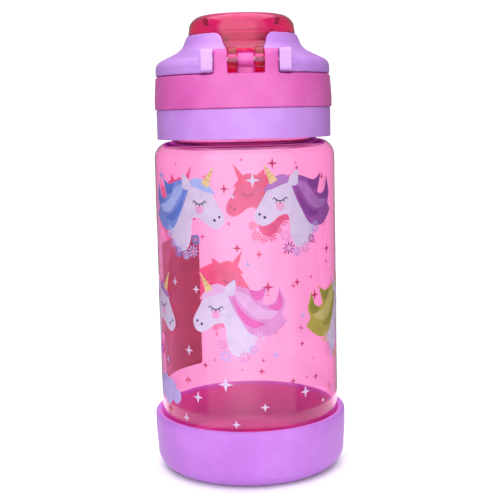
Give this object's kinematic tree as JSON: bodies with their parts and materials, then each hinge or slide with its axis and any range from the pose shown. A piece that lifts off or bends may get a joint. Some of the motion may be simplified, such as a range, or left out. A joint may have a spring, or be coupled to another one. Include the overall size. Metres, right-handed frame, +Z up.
{
  "type": "kids water bottle",
  "caption": "Clear tinted drinking bottle in a soft boot, with a screw lid whose hinged cover has a clear window over the spout and a rocker latch.",
  "frame": {"origin": "centre of the boot's underside, on the bottle's axis", "axes": "+Z up along the bottle's axis, -Y towards the cover's hinge, +Y towards the latch, hinge axis along X"},
  "size_m": [0.0776, 0.0776, 0.1808],
  "materials": {
    "clear_body": "clear pink copolyester, polished",
    "clear_window": "clear deep pink, polished",
    "violet_silicone": "soft matte silicone",
    "violet_plastic": "satin moulded plastic",
    "pink_plastic": "satin moulded plastic",
    "spout_plastic": "smooth moulded plastic",
    "pink_silicone": "soft silicone",
    "white_silicone": "soft silicone",
    "pin_steel": "drawn steel wire"
  },
  "bodies": {
    "boot": {"base_boot": "violet_silicone"},
    "bottle": {"bottle_body": "clear_body"},
    "gasket": {"neck_gasket": "white_silicone"},
    "lid": {"lid_skirt": "violet_plastic", "lid_collar": "pink_plastic", "drinking_spout": "spout_plastic", "spout_seal": "white_silicone", "vent_valve": "white_silicone", "hinge_pin": "pin_steel", "latch_pin": "pin_steel", "latch_spring": "pin_steel"},
    "cover": {"flip_cover": "violet_plastic", "cover_window": "clear_window", "cover_plug": "pink_silicone"},
    "latch": {"latch_button": "violet_plastic"}
  },
  "joints": [
    {"name": "boot_pull", "type": "slide", "parent": "boot", "child": "bottle", "axis": [0, 0, 1], "range_m": [0, 0.026]},
    {"name": "lid_lift", "type": "slide", "parent": "bottle", "child": "gasket", "axis": [0, 0, 1], "range_m": [0, 0.0181]},
    {"name": "lid_turn", "type": "hinge", "parent": "gasket", "child": "lid", "pos_m": [0, 0, 0.15], "axis": [0, 0, 1], "range_deg": [0, 1080]},
    {"name": "cover_flip", "type": "hinge", "parent": "lid", "child": "cover", "pos_m": [0, -0.03, 0.162], "axis": [1, 0, 0], "range_deg": [0, 125]},
    {"name": "latch_press", "type": "hinge", "parent": "lid", "child": "latch", "pos_m": [0, 0.032, 0.1508], "axis": [-1, 0, 0], "range_deg": [0, 10], "stiffness_Nm_per_rad": 0.02, "springref_deg": -17.19, "deforming": ["latch_spring"]}
  ],
  "couplings": [
    {"joint": "lid_lift", "follows": "lid_turn", "m_per_rad": 0.00095493}
  ]
}
